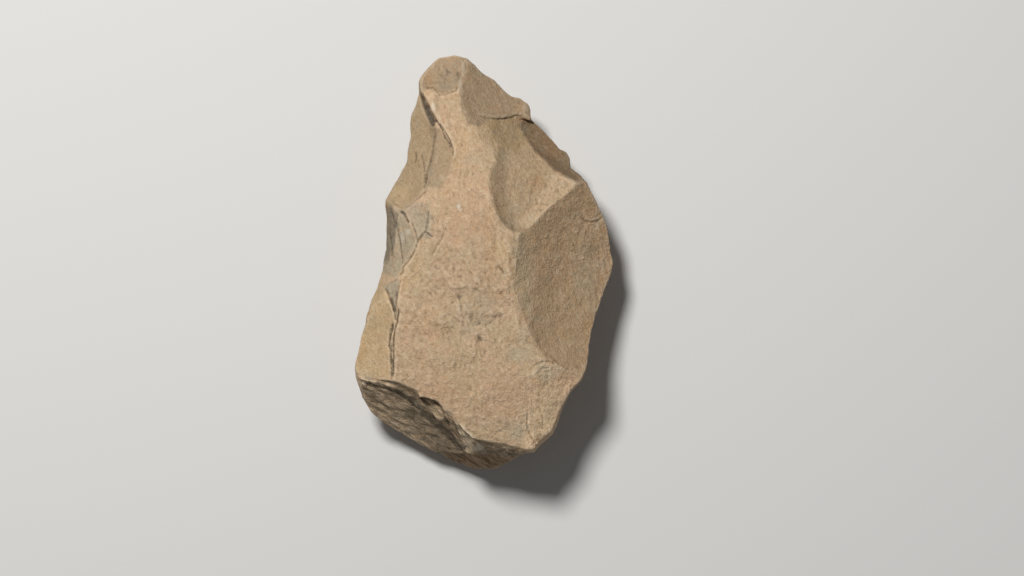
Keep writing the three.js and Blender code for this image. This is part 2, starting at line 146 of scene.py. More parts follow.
# Marks on the upper face, as lines in plan, from the middle of the stone
MARKS = [
    # the steep drop beside the tip and the shadowed cleft left of it
    mark([(-21.7, 62.4), (-20.4, 60.7), (-18.7, 58.3), (-15.9, 54.4), (-14.4, 51.6), (-13.5, 48.8),
          (-13.5, 44.1)], 1.0, 0.5, 0.85, raised=0.5, fall=2.0),
    mark([(-27.9, 73.8), (-27.1, 71.2), (-26.0, 67.8), (-24.9, 64.8), (-23.6, 61.8), (-21.5, 57.9)],
         1.5, 0.8, 1.0),
    mark([(-25.6, 68.6), (-24.3, 65.6), (-22.8, 62.6), (-21.1, 59.8)], 1.3, 0.9, 0.95),
    # the hollow at the tip: its lower rim, and the ridge right of it
    mark([(-25.6, 74.2), (-23.8, 75.3), (-21.7, 75.3), (-20.2, 73.4), (-19.1, 72.1), (-17.0, 72.3),
          (-14.8, 73.4), (-12.2, 74.2), (-10.9, 76.8)], 0.15, 0.5, 0.22, raised=-0.6, fall=2.6),
    mark([(-7.9, 89.3), (-9.0, 85.4), (-9.6, 81.1), (-10.3, 76.8), (-11.8, 73.8)], -0.4, 0.6, 0.0),
    # cracks of the upper left
    mark([(-21.3, 59.2), (-21.5, 53.8), (-22.3, 48.4), (-23.4, 43.0), (-24.7, 38.7), (-25.3, 34.4),
          (-25.8, 32.0)], 0.6, 0.45, 0.65, raised=-0.4, fall=2.5),
    mark([(-25.4, 38.5), (-25.7, 35.1), (-26.0, 31.6)], 0.6, 0.6, 0.6),
    mark([(-29.6, 47.8), (-29.3, 45.2), (-30.0, 42.4)], 0.45, 0.45, 0.55),
    mark([(-27.3, 46.8), (-26.4, 43.7), (-25.8, 40.4), (-25.6, 38.1)], 0.45, 0.45, 0.55),
    mark([(-35.4, 21.6), (-33.5, 23.5), (-31.1, 25.5), (-29.1, 26.9), (-27.3, 28.3), (-24.4, 31.2)],
         0.5, 0.45, 0.6),
    # round the grey bump on the left edge
    mark([(-35.7, 22.1), (-34.6, 20.4), (-33.5, 18.7), (-32.2, 16.5)], 0.9, 0.6, 0.9),
    mark([(-32.5, 17.0), (-31.2, 17.2), (-30.1, 14.8), (-28.9, 10.9), (-28.5, 8.8), (-29.4, 5.8),
          (-30.6, 3.4), (-32.3, 0.6), (-34.6, -2.0), (-35.1, -4.1), (-37.3, -6.7)], 0.8, 0.5, 0.8),
    mark([(-28.5, 8.8), (-27.3, 10.5), (-25.8, 12.5), (-25.1, 13.1), (-23.8, 12.1), (-22.2, 11.1),
          (-21.7, 10.1)], 0.6, 0.5, 0.7, raised=0.3, fall=2.0),
    mark([(-23.9, 22.6), (-24.4, 16.4), (-24.8, 12.5)], 0.5, 0.42, 0.65),
    mark([(-22.0, 19.6), (-21.5, 16.4), (-21.7, 12.5)], 0.3, 0.4, 0.4),
    mark([(-17.0, 12.5), (-18.3, 9.6), (-20.1, 7.2), (-21.5, 4.5), (-22.6, 2.5)],
         0.5, 0.45, 0.5, raised=0.4, fall=2.5),
    mark([(-28.2, 3.6), (-29.0, -0.3), (-30.6, -4.1), (-34.2, -7.6)], 0.25, 0.5, 0.3),
    mark([(-37.0, 22.1), (-37.8, 16.5), (-36.8, 12.7), (-35.9, 8.8), (-35.5, 4.5), (-35.1, 1.0),
          (-35.5, -2.0)], 0.6, 0.45, 0.6, raised=0.3, fall=2.0),
    mark([(-40.6, 14.0), (-40.2, 10.5), (-39.4, 6.6), (-39.8, 1.9)], 0.6, 0.5, 0.7, raised=0.3, fall=1.6),
    mark([(-39.8, 21.7), (-38.7, 17.8), (-38.5, 14.0)], 0.4, 0.4, 0.5),
    mark([(-34.6, 15.7), (-33.3, 10.5), (-33.3, 5.3)], 0.2, 0.45, 0.15, raised=0.3, fall=1.6),
    # down the lower left: the notch and the double crack
    mark([(-42.5, -10.2), (-41.2, -13.5), (-39.6, -16.6), (-38.5, -19.4), (-38.1, -22.2), (-37.6, -25.7)],
         0.8, 0.5, 0.9),
    mark([(-36.3, -8.4), (-36.8, -10.6), (-37.4, -13.2), (-37.8, -16.6), (-37.6, -20.5), (-37.0, -23.9),
          (-37.6, -28.2)], 0.4, 0.42, 0.6),
    mark([(-42.6, -10.2), (-40.6, -8.9), (-38.5, -8.0), (-36.8, -7.1)], 0.3, 0.45, 0.4),
    mark([(-36.9, -17.9), (-36.5, -21.6), (-37.2, -25.2), (-38.1, -28.7), (-38.5, -32.3), (-38.7, -35.6),
          (-38.7, -42.9), (-39.0, -50.6)], 1.0, 0.5, 0.9),
    mark([(-38.7, -24.8), (-39.6, -28.7), (-40.2, -32.3), (-40.6, -35.6), (-40.0, -37.1), (-39.8, -42.0),
          (-39.5, -46.8), (-39.8, -51.5)], 1.3, 0.6, 0.95),
    mark([(-51.4, -21.8), (-49.7, -22.0), (-48.0, -22.4)], 0.2, 0.5, 0.35),
    # the step across below the tip
    mark([(-3.2, 63.7), (-1.0, 62.7), (2.0, 62.0), (5.4, 61.8), (8.4, 62.1), (11.0, 62.6), (13.6, 63.5),
          (16.2, 63.2), (20.1, 60.9)], 0.4, 0.38, 0.45, raised=0.45, fall=3.0),
    # chip at the right edge and a short arc in the scoop
    mark([(41.6, 19.6), (42.9, 18.3), (45.5, 17.6), (48.5, 17.8), (51.1, 19.6)],
         0.5, 0.45, 0.5, raised=0.4, fall=2.0),
    mark([(42.9, 20.0), (43.3, 17.4), (45.5, 15.7), (48.9, 14.8)], 0.3, 0.5, 0.3),
    mark([(19.6, 24.3), (23.1, 25.2), (26.5, 24.7)], 0.2, 0.45, 0.25),
    mark([(11.9, 14.4), (15.3, 13.3), (19.6, 14.0)], 0.3, 0.6, 0.3),
    # small marks over the main face
    mark([(5.9, -1.5), (7.6, -3.3), (8.9, -5.4)], 0.7, 0.9, 0.55),
    mark([(-12.7, -12.3), (-10.5, -17.0), (-9.2, -23.1), (-9.2, -29.1)],
         0.1, 0.6, 0.12, raised=-0.5, fall=3.5),
    mark([(6.7, -12.7), (8.9, -16.2), (11.0, -19.2)], 0.2, 0.7, 0.15, raised=-0.4, fall=3.0),
    mark([(-0.2, -23.1), (4.1, -23.1), (8.0, -22.2), (10.6, -20.9)], 0.1, 0.6, 0.12, raised=0.4, fall=3.5),
    mark([(-37.2, -12.7), (-33.8, -14.5), (-30.7, -15.8)], 0.2, 0.5, 0.2, raised=-0.25, fall=2.0),
    mark([(-0.2, -25.7), (2.0, -30.0), (5.4, -34.7)], 0.1, 0.8, 0.08, raised=-0.5, fall=4.0),
    mark([(19.2, -46.3), (22.2, -43.7), (25.2, -42.5), (28.3, -42.5), (30.8, -43.7)],
         0.4, 0.42, 0.5, raised=0.25, fall=2.0),
    mark([(22.2, -47.2), (25.2, -45.5), (28.3, -45.0)], 0.2, 0.42, 0.22),
    mark([(25.7, -38.6), (29.1, -41.2), (33.9, -44.6), (37.7, -47.2)], 0.35, 0.45, 0.3),
    mark([(18.8, -64.4), (18.4, -69.6), (20.1, -74.8), (23.1, -79.5)], 0.5, 0.5, 0.5, raised=0.3, fall=2.0),
    mark([(23.5, -61.4), (25.2, -67.0), (25.2, -73.0)], 0.25, 0.5, 0.25),
    mark([(-27.3, -29.1), (-26.0, -35.1), (-26.9, -40.3)], 0.2, 0.5, 0.2),
    # ledges of the butt
    mark([(-53.1, -48.9), (-49.7, -50.2), (-45.0, -51.1), (-40.2, -51.9), (-36.3, -53.0), (-30.7, -56.5),
          (-27.3, -59.3)], 0.5, 0.6, 0.6, raised=-0.3, fall=1.5),
    mark([(-55.3, -46.8), (-52.7, -51.1), (-48.4, -53.2), (-42.4, -54.1), (-37.2, -56.2), (-32.0, -59.7),
          (-28.6, -63.1)], 0.7, 0.6, 0.7),
    mark([(-22.6, -58.4), (-19.8, -60.3), (-18.5, -61.8), (-16.9, -65.9), (-14.4, -71.3)], 0.4, 0.55, 0.75),
    mark([(-13.5, -67.4), (-12.2, -70.9), (-10.5, -75.2), (-8.8, -79.1), (-7.5, -81.2)], 0.5, 0.5, 0.7),
    mark([(-11.4, -69.2), (-8.8, -72.6), (-5.8, -76.5), (-2.7, -79.5)], 0.45, 0.45, 0.6),
    mark([(-15.7, -71.3), (-12.7, -75.2), (-9.6, -79.5), (-7.9, -81.6)], 0.6, 0.5, 0.6),
    mark([(-0.2, -82.9), (1.6, -85.5), (2.8, -88.1)], 0.3, 0.7, 0.4),
    mark([(5.4, -82.9), (8.0, -85.5), (9.7, -86.8)], 0.3, 0.7, 0.35),
]

LUMPS = [
    lump((-13.9, -29.1), (14.0, 22.0), 0.7),
    lump((6.7, -31.3), (9.0, 12.0), -0.8),
    lump((-6.2, 5.3), (9.0, 26.0), 0.7),
    lump((3.3, -57.1), (16.0, 9.0), 0.6),
    lump((-23.4, -11.9), (9.0, 16.0), -0.6),
    lump((17.5, 66.5), (3.4, 3.4), 0.8),
    lump((-23.0, 70.8), (2.6, 2.6), 0.7),
    lump((-21.7, 66.5), (1.6, 2.6), 0.5),
    lump((45.5, -16.2), (8.0, 16.0), 0.5),
    lump((32.6, -11.9), (8.0, 20.0), -0.4),
    lump((-32.9, 11.4), (4.0, 8.0), 0.5),
    lump((-17.0, 83.7), (5.0, 5.0), -0.4),
]

# Where the stone is worn smooth, so that the ridges between flakes fade
WORN = [
    # ledge of the butt
    [(-17.8, -64.4), (-13.9, -65.3), (-11.4, -69.6), (-12.2, -73.0), (-15.7, -72.2), (-17.8, -67.9)],
    # between the scoop and the notch
    [(10.2, 62.6), (15.3, 62.6), (18.8, 57.0), (22.2, 50.1), (18.8, 48.4), (14.5, 54.4)],
    # upper half of the scoop
    [(6.7, 56.2), (14.5, 56.2), (21.4, 45.8), (27.4, 40.7), (26.1, 34.6), (15.3, 33.8), (6.7, 34.6),
     (5.4, 44.1), (4.1, 49.3)],
    # lower right corner
    [(17.1, -47.2), (25.7, -50.6), (24.8, -59.3), (23.9, -76.5), (16.2, -76.5), (11.9, -59.3)],
    # neck below the tip
    [(-7.9, 62.2), (-1.0, 60.5), (5.9, 47.5), (2.4, 39.8), (-6.2, 48.4)],
    # between the bump and the lower left face
    [(-52.7, 0.2), (-39.8, -1.5), (-34.6, -5.0), (-35.5, -8.9), (-40.2, -15.3), (-42.8, -22.2),
     (-55.3, -23.1)],
    # above the triangle
    [(-25.6, 31.2), (-13.9, 35.5), (-13.9, 20.4), (-19.1, 13.1), (-26.0, 21.7)],
]

# The rough faces at the lower left, which broke in fine layers that run across them
BUTT_AREA = [
    (-60.0, -45.5), (-53.1, -48.9), (-40.2, -51.9), (-30.7, -56.5), (-22.6, -58.1), (-18.7, -61.0),
    (-13.5, -66.7), (-9.6, -69.6), (-3.6, -75.6), (4.6, -77.8), (21.4, -81.6), (22.2, -95.9),
    (-60.0, -95.9),
]

# Areas of the upper face with their own tone. Many of them darken or lighten the stone as painted shade
# and painted light, over its own colour. A later one covers the colour shares of an earlier one.
AREAS = [
    # slope right of the tip: brown stone, with painted shade where it faces away from the lamp
    tone([(-8.8, 90.6), (-11.1, 74.2), (-9.9, 65.6), (-7.1, 59.2), (-1.9, 57.9), (0.7, 61.8), (8.0, 61.8),
          (13.6, 63.3), (20.5, 60.9), (32.6, 65.6), (15.3, 87.2)],
         soft=0.5, shade=0.74, brown=0.55, grey=0.15),
    # scoop
    tone([(-0.2, 61.8), (8.0, 61.8), (13.6, 63.0), (20.9, 48.4), (30.8, 39.4), (22.2, 26.9), (11.9, 13.5),
          (8.0, 15.7), (4.1, 24.7), (3.3, 36.3), (6.7, 50.6)],
         soft=1.2, shade=0.86, brown=0.3, grey=0.1, yellow=0.2),
    # steep notch right of the scoop: brown stone, with painted shade on its steep face
    tone([(14.5, 59.6), (17.5, 54.4), (21.8, 48.0), (30.4, 39.8), (39.9, 34.2), (58.4, 35.5), (32.6, 65.6),
          (20.1, 62.2)], soft=0.8, shade=0.53, brown=1.0, yellow=0.4),
    # painted shadow along the ridge between the scoop and the notch, on brown stone
    tone([(17.1, 55.7), (21.8, 50.6), (27.4, 47.1), (33.4, 42.8), (39.0, 37.2), (39.9, 34.2), (30.8, 39.4),
          (22.2, 47.1)], soft=1.0, shade=0.74, brown=0.8),
    # slope below the step: yellow stone, with painted shade
    tone([(-0.2, 61.8), (13.2, 63.0), (19.2, 55.7), (16.2, 47.5), (6.7, 48.4)],
         soft=2.2, shade=0.83, brown=0.3, yellow=0.95),
    # painted shadow down the left side of the scoop, on yellow-brown stone
    tone([(6.3, 50.1), (2.8, 38.9), (3.7, 25.2), (6.3, 17.8), (11.0, 13.5), (16.6, 14.4), (12.8, 17.4),
          (9.7, 25.2), (8.9, 37.6), (9.7, 48.4)], soft=1.4, shade=0.78, brown=0.3, grey=0.1, yellow=0.5),
    # painted shadow along the lower left rim of the scoop
    tone([(3.1, 31.2), (4.1, 25.2), (6.7, 17.8), (11.2, 13.5), (15.3, 13.7), (10.6, 15.7), (7.2, 20.8),
          (5.4, 26.9)], soft=0.6, shade=0.76, brown=0.2, grey=0.1, yellow=0.2),
    # middle of the main face
    tone([(-24.3, 16.1), (6.7, 16.1), (11.9, -29.1), (-25.6, -31.3)], soft=7.0, shade=0.95, grey=0.05),
    # left corner
    tone([(-42.4, 28.2), (-37.2, 32.5), (-31.2, 33.8), (-32.0, 26.0), (-36.8, 23.0)],
         soft=1.8, shade=1.13, yellow=0.8),
    # large right face: brown stone, with painted shade where it faces away from the lamp
    tone([(11.5, 13.1), (19.6, 14.8), (29.1, 24.7), (39.9, 34.2), (67.0, 35.5), (67.0, -47.2),
          (42.0, -50.2), (27.0, -42.5), (20.1, -31.3), (14.9, -19.6), (11.9, -7.6), (10.4, 0.2),
          (10.2, 7.1)], soft=0.8, shade=0.88, brown=0.82),
    # band along the left of the right face
    tone([(10.2, 7.1), (11.5, 12.2), (18.8, 13.5), (22.2, 7.1), (21.4, -7.6), (19.6, -23.9), (15.3, -19.6),
          (11.9, -7.6)], soft=2.4, shade=1.03, grey=0.25, yellow=0.5),
    # slope left of the tip: yellow stone, with painted shade
    tone([(-29.9, 87.2), (-36.3, 61.3), (-45.0, 31.2), (-42.8, 26.0), (-35.5, 21.7), (-24.3, 32.0),
          (-20.8, 48.4), (-21.7, 59.6), (-26.0, 69.9)], soft=0.8, shade=0.71, grey=0.1, yellow=0.6),
    # strip beside the tip
    tone([(-25.6, 68.2), (-21.7, 60.5), (-13.9, 50.1), (-13.9, 39.8), (-19.1, 31.2), (-25.1, 32.0),
          (-21.7, 48.4)], soft=1.0, shade=0.75, grey=0.2, yellow=0.3),
    # bump on the left edge
    tone([(-45.0, 26.0), (-35.5, 21.7), (-28.6, 9.2), (-37.2, -6.7), (-49.3, -2.4)],
         soft=0.9, shade=0.84, grey=0.75),
    # outer side of the bump
    tone([(-45.0, 26.9), (-38.5, 23.0), (-37.2, 16.5), (-38.5, 8.8), (-41.1, 0.2), (-47.5, 0.2)],
         soft=1.0, shade=0.64, grey=0.8),
    # triangle inside the bump
    tone([(-35.5, 21.7), (-29.4, 26.0), (-23.4, 24.3), (-22.6, 11.4), (-28.2, 9.2), (-31.2, 16.5)],
         soft=1.4, shade=0.86, grey=0.7),
    # lower left face
    tone([(-62.2, 0.2), (-42.8, -9.3), (-38.5, -20.5), (-39.8, -52.4), (-62.2, -47.2)],
         soft=1.0, shade=0.95, yellow=0.7),
    # notch above the lower left face
    tone([(-42.8, -9.7), (-36.5, -7.6), (-37.6, -20.5)], soft=0.6, shade=0.85, grey=0.9),
    # butt
    tone([(-62.2, -44.6), (-40.2, -52.4), (-27.3, -59.7), (-7.9, -83.4), (-19.1, -83.4), (-62.2, -89.4)],
         soft=0.9, shade=1.27, brown=0.25, grey=0.45),
    # painted shadow in the band below the top edge of the butt, greyed
    tone([(-41.1, -52.8), (-36.6, -54.5), (-29.9, -58.0), (-26.9, -60.5), (-20.8, -67.4), (-14.8, -73.0),
          (-8.3, -79.5), (-8.3, -82.5), (-12.7, -79.5), (-20.8, -71.3), (-27.7, -64.0), (-36.3, -57.5)],
         soft=0.7, shade=0.5, grey=0.6),
    # ledge of the butt: greyish yellow stone, with painted light on its lit face
    tone([(-26.4, -59.5), (-22.8, -58.6), (-20.0, -61.4), (-17.8, -65.9), (-15.2, -71.5), (-18.7, -69.6),
          (-21.9, -66.6), (-24.5, -62.9)], soft=0.4, shade=1.15, grey=0.3, yellow=0.3),
    # middle of the butt: grey stone, with painted light on the lit faces of its ledges
    tone([(-13.5, -67.0), (-9.2, -69.8), (-3.6, -75.6), (0.7, -79.1), (-2.7, -81.6), (-7.5, -81.6),
          (-10.5, -75.2)], soft=0.6, shade=1.35, grey=0.7),
    # foot of the butt
    tone([(-20.4, -82.1), (-1.9, -82.5), (21.4, -81.6), (21.4, -98.0), (-23.4, -98.0)],
         soft=0.9, shade=0.93, brown=0.9),
    # lower right corner: painted light on a face that slopes away from the lamp
    tone([(19.6, -47.2), (27.4, -42.9), (42.0, -50.6), (49.8, -54.9), (21.4, -83.4), (15.3, -79.1)],
         soft=2.0, shade=1.22, grey=0.05),
    # hollow and rim of the tip: painted shade in the hollow, a little brown
    tone([(-8.3, 91.5), (-10.7, 76.4), (-14.8, 73.4), (-18.7, 72.1), (-21.7, 75.1), (-26.0, 73.8),
          (-31.2, 76.8), (-19.1, 92.3)], soft=0.8, shade=0.84, brown=0.2, grey=0.1),
    # bottom of the hollow: grey stone, with more painted shade
    tone([(-9.6, 88.0), (-11.8, 75.1), (-16.5, 72.5), (-20.0, 75.1), (-18.7, 82.9)],
         soft=1.6, shade=0.86, brown=0.1, grey=0.3),
    # painted shade in the valley across the middle of the butt, greyed
    tone([(-34.6, -60.1), (-26.0, -64.0), (-16.5, -74.3), (-8.8, -82.1), (-20.0, -83.4), (-31.2, -73.0)],
         soft=2.4, shade=0.68, brown=0.2, grey=0.45),
    # right end of the butt
    tone([(-1.9, -78.2), (5.4, -78.4), (21.4, -81.6), (20.5, -83.4), (-2.7, -82.9)],
         soft=0.5, shade=0.93, brown=0.2, grey=0.5),
]

# Patches of mineral colour on the upper face, and two painted highlights among the white ones
PATCHES = {
    "grey_patch": [
        patch((15.3, -37.7), (6.0, 7.0), 0.45),
        patch((26.1, -47.2), (8.0, 4.0), 0.4),
        patch((44.6, -6.7), (7.0, 16.0), 0.35),
        patch((14.0, -72.2), (5.0, 5.0), 0.5),
        patch((-2.3, -21.4), (9.0, 12.0), 0.45),
        patch((14.9, 5.3), (3.5, 9.0), 0.5),
        patch((-25.6, -7.6), (8.0, 12.0), 0.25),
    ],
    "yellow_patch": [
        patch((-48.4, -33.4), (8.0, 16.0), 0.8),
        patch((-37.2, 31.2), (7.0, 7.0), 0.9),
        patch((-30.7, -6.3), (10.0, 8.0), 0.7),
        patch((6.7, 5.3), (5.0, 10.0), 0.4),
        patch((-6.2, 57.0), (9.0, 9.0), 0.4),
        patch((-12.7, 48.4), (6.0, 12.0), 0.4),
    ],
    "brown_patch": [
        patch((33.4, 5.3), (16.0, 16.0), 0.7),
        patch((29.1, -24.8), (9.0, 20.0), 0.7),
        patch((39.0, -29.1), (12.0, 24.0), 0.5),
    ],
    "orange_patch": [
        patch((22.7, 34.6), (3.5, 4.0), 0.7),
        patch((18.8, 61.8), (2.6, 1.4), 1.0),
        patch((15.3, 66.5), (2.6, 3.2), 0.4),
        patch((28.3, 50.1), (8.0, 9.0), 0.5),
        patch((-23.4, 71.2), (3.0, 2.5), 0.5),
        patch((-24.3, 79.4), (3.0, 6.0), 0.5),
        patch((-12.7, 26.9), (9.0, 22.0), 0.2),
        patch((-23.4, -23.9), (9.0, 12.0), 0.22),
        patch((8.9, -3.3), (4.0, 9.0), 0.25),
        patch((-14.8, -54.9), (14.0, 9.0), 0.2),
        patch((2.4, 7.5), (3.0, 26.0), 0.35),
        patch((-52.7, -37.7), (2.0, 6.0), 0.5),
        patch((-42.4, 20.4), (1.6, 12.0), 0.4),
        patch((-47.5, -6.3), (4.0, 4.0), 0.3),
        patch((45.5, -29.1), (3.0, 7.0), 0.4),
    ],
    "white_and_highlight_patch": [
        patch((-10.9, 23.9), (0.9, 1.1), 0.8),
        patch((-10.1, 22.6), (0.8, 0.7), 0.7),
        patch((-39.4, -51.5), (1.0, 0.7), 1.0),
        # painted highlight on the lit lip and the lit facet beside the tip
        patch((-22.1, 66.9), (1.0, 2.2), 0.7),
        patch((-23.4, 63.0), (1.2, 1.6), 0.5),
        patch((-35.0, 10.9), (1.0, 2.6), 0.5),
        patch((-32.5, 13.1), (0.9, 1.2), 0.6),
        patch((-9.2, 83.7), (0.7, 3.4), 0.4),
        patch((-10.5, 76.8), (0.7, 3.0), 0.4),
        patch((-2.7, -79.9), (3.0, 1.6), 0.5),
    ],
}

# Colours of the stone, and of its painted shade and highlights, as Blender's linear red, green and blue
TAN = (0.452, 0.325, 0.196)
PINK = (0.486, 0.325, 0.202)
GREY = (0.378, 0.326, 0.232)
YELLOW = (0.490, 0.345, 0.182)
BROWN = (0.385, 0.255, 0.142)
ORANGE = (0.475, 0.262, 0.115)
# white of the white spots, and painted highlight
WHITE_AND_HIGHLIGHT = (0.62, 0.56, 0.46)
UMBER = (0.235, 0.165, 0.100)
# painted shade in hollows and pits, and the dark lines between the butt's layers
DARK = (0.085, 0.062, 0.042)
PALE = (0.62, 0.48, 0.33)
# dark in the cracks, and painted shadow along the steps
CRACK_AND_STEP_SHADOW = (0.060, 0.052, 0.040)

# Noises of the colour: scale, detail, roughness and twist
EVEN_NOISES = {
    "mottle": (60.0, 5.0, 0.62, 0.4),
    "blotch": (190.0, 4.0, 0.6, 0.5),
    "cloud": (320.0, 3.0, 0.6, 0.8),
    "fleck": (480.0, 3.0, 0.65, 0.6),
    "speck": (950.0, 3.0, 0.65, 0.4),
    "fine": (1900.0, 3.0, 0.7, 0.0),
}
STREAKED_NOISES = {
    "streaks": (420.0, 4.0, 0.65, 0.4),
    "weave": (1250.0, 2.0, 0.6, 0.5),
}
LAYER_NOISE = (620.0, 3.0, 0.65, 0.5)
STREAK_TURN = math.radians(25.0)
STREAK_SCALE = (1.0, 2.6, 1.0)
LAYER_SCALE = (LAYER_STRETCH, 1.0, 1.6)

# Tints in the order they are laid on: what gives them, where they start, where they are full, how much
# they cover then, and their colour
NOISE_TINTS = [
    ("blotch", 0.55, 0.72, 0.45, GREY),
    ("blotch", 0.45, 0.30, 0.35, ORANGE),
    ("streaks", 0.56, 0.72, 0.40, PALE),
    ("streaks", 0.44, 0.30, 0.45, BROWN),
    ("weave", 0.54, 0.70, 0.35, PALE),
    ("weave", 0.46, 0.30, 0.40, UMBER),
    ("cloud", 0.54, 0.70, 0.20, PALE),
    ("cloud", 0.46, 0.30, 0.22, BROWN),
    ("fleck", 0.54, 0.72, 0.36, PALE),
    ("fleck", 0.46, 0.28, 0.27, UMBER),
    ("speck", 0.56, 0.74, 0.35, PALE),
    ("speck", 0.44, 0.28, 0.30, UMBER),
]
# ridges and small bumps paler with wear, and hollows and pits darker as painted shade
BEND_TINTS = [
    ("ridge", 0.35, 1.3, 0.18, PALE),
    ("ridge", -0.60, -1.5, 0.45, DARK),
    ("grain", -0.5, -1.5, 0.30, DARK),
    ("grain", 0.4, 1.3, 0.30, PALE),
]
LAYER_TINTS = [(0.48, 0.30, 0.45, UMBER), (0.54, 0.72, 0.55, PALE)]
LEDGE_HALF = 0.035
LEDGE_SHARE = 0.70
CRACK_AND_SHADOW_SHARE = 0.78

# Gloss of the stone: its roughness where the flecks are dark and where they are pale, and its shine
ROUGHNESS = (0.95, 0.82)
SHINE = 0.2

# Fine relief in the material: the share of each noise, and the depth in metres
BUMP_SHARES = {"fleck": 0.30, "speck": 0.22, "fine": 0.12, "streaks": 0.20, "weave": 0.18}
BUMP_LAYERS = 1.3
BUMP_DEPTH = 0.0016

# Camera, straight above, with the photograph's framing. SENSOR and LENS are in millimetres, and the rest is
# in metres.
SENSOR = 36.0
LENS = 200.0
AIM = (0.01189, -0.01103)
FRAME_WIDTH = 0.4409
FRAME_HEIGHT_AT = 0.034  # the height at which the frame is that wide
CLIP_END = 20.0

# Light and floor, in metres and watts
KEY_WAY = Vector((-0.25, 0.43, 0.87)).normalized()
KEY_DISTANCE = 1.6
KEY_POWER = 28.0
KEY_SIZE = 0.35
SKY = 0.13
SKY_COLOUR = (0.95, 0.97, 1.0, 1.0)
FLOOR_HALF = 3.0
FLOOR_DROP = 0.0002
FLOOR_COLOUR = (0.62, 0.61, 0.59)
FLOOR_ROUGHNESS = 0.9


def lattice(seed):
    """Random directions for gradient noise."""
    rng = np.random.default_rng(seed)
    table = rng.permutation(LATTICE)
    slopes = rng.normal(size=(LATTICE, 3))
    slopes /= np.linalg.norm(slopes, axis=1)[:, None]
    return np.concatenate([table, table]), slopes


def noise(points, scale, seed):
    """Gradient noise between about -1 and 1. points and scale are in millimetres."""
    table, slopes = lattice(seed)
    p = points / np.asarray(scale, float)
    cell = np.floor(p).astype(int)
    f = p - cell
    last = LATTICE - 1
    cell &= last
    fade = f * f * f * (f * (f * 6 - 15) + 10)
    total = np.zeros(len(p))
    for dx in (0, 1):
        wx = fade[:, 0] if dx else 1 - fade[:, 0]
        a = table[(cell[:, 0] + dx) & last]
        for dy in (0, 1):
            wy = fade[:, 1] if dy else 1 - fade[:, 1]
            b = table[(a + cell[:, 1] + dy) & last]
            for dz in (0, 1):
                wz = fade[:, 2] if dz else 1 - fade[:, 2]
                g = slopes[table[(b + cell[:, 2] + dz) & last]]
                d = f - np.array([dx, dy, dz])
                total += wx * wy * wz * np.einsum("ij,ij->i", g, d)
    return total * NOISE_SPREAD


def smoothstep(low, high, value):
    t = np.clip((value - low) / (high - low), 0.0, 1.0)
    return t * t * (3 - 2 * t)


def line_distance(plan, line):
    """Distance of each plan point to a line of spots, its side (left is positive) and its place along it."""
    best = np.full(len(plan), 1e9)
    side = np.zeros(len(plan))
    place = np.zeros(len(plan))
    spots = np.array(line, float)
    runs = np.linalg.norm(np.diff(spots, axis=0), axis=1)
    total = runs.sum()
    gone = 0.0
    for a, b, run in zip(spots[:-1], spots[1:], runs):
        step = (b - a) / run
        rel = plan - a
        t = np.clip(rel @ step, 0.0, run)
        off = rel - t[:, None] * step
        dist = np.hypot(off[:, 0], off[:, 1])
        near = dist < best
        best[near] = dist[near]
        side[near] = (step[0] * rel[:, 1] - step[1] * rel[:, 0])[near]
        place[near] = ((gone + t) / total)[near]
        gone += run
    return best, np.sign(side), place


def inside(plan, area):
    """Signed distance from a closed outline in plan, positive inside."""
    spots = np.array(area, float)
    closed = [tuple(s) for s in spots] + [tuple(spots[0])]
    dist, _, _ = line_distance(plan, closed)
    hit = np.zeros(len(plan), bool)
    for (ax, ay), (bx, by) in zip(closed[:-1], closed[1:]):
        if ay == by:
            continue
        crosses = (ay > plan[:, 1]) != (by > plan[:, 1])
        at = ax + (plan[:, 1] - ay) * (bx - ax) / (by - ay)
        hit ^= crosses & (plan[:, 0] < at)
    return np.where(hit, dist, -dist)


def area_share(points, area, soft, seed):
    """How much each point belongs to an area of the upper face, from 0 to 1, with an uneven soft edge."""
    depth = inside(points[:, :2], area) + AREA_WANDER * soft * noise(points, AREA_WANDER_SIZE, seed)
    return smoothstep(-soft, soft, depth)


def near_line(plan, line, margin):
    """Which points lie in a line's box, grown by a margin."""
    spots = np.array(line, float)
    return ((plan > spots.min(axis=0) - margin) & (plan < spots.max(axis=0) + margin)).all(axis=1)


def follow(points, crack_and_shadow, margin, wander, ends):
    """The points near a mark, with their distance to it, their side of it, and its taper at both ends."""
    near = near_line(points[:, :2], crack_and_shadow["line"], margin)
    dist, side, place = line_distance(points[near, :2], crack_and_shadow["line"])
    dist = dist + wander * noise(points[near], WANDER_SIZE, SEED + 8)
    taper = smoothstep(0.0, ends, place) * smoothstep(1.0, 1 - ends, place)
    return near, dist, side, taper


def read_points(mesh):
    co = np.empty(len(mesh.vertices) * 3)
    mesh.vertices.foreach_get("co", co)
    return co.reshape(-1, 3) / MM


def read_normals(mesh):
    no = np.empty(len(mesh.vertices) * 3)
    mesh.vertex_normals.foreach_get("vector", no)
    return no.reshape(-1, 3)


def write_points(mesh, points):
    mesh.vertices.foreach_set("co", (points * MM).ravel())
    mesh.update()


def edges_of(mesh):
    e = np.empty(len(mesh.edges) * 2, dtype=np.int64)
    mesh.edges.foreach_get("vertices", e)
    return e.reshape(-1, 2)


def average(values, edges, rounds):
    """Each vertex's value moved to the average of its neighbours, again and again."""
    count = len(values)
    weight = np.bincount(edges.ravel(), minlength=count).astype(float)
    columns = values.reshape(count, -1)
    for _ in range(rounds):
        columns = np.stack([
            (np.bincount(edges[:, 0], column[edges[:, 1]], count)
             + np.bincount(edges[:, 1], column[edges[:, 0]], count)) / weight
            for column in columns.T
        ], axis=1)
    return columns.reshape(values.shape)


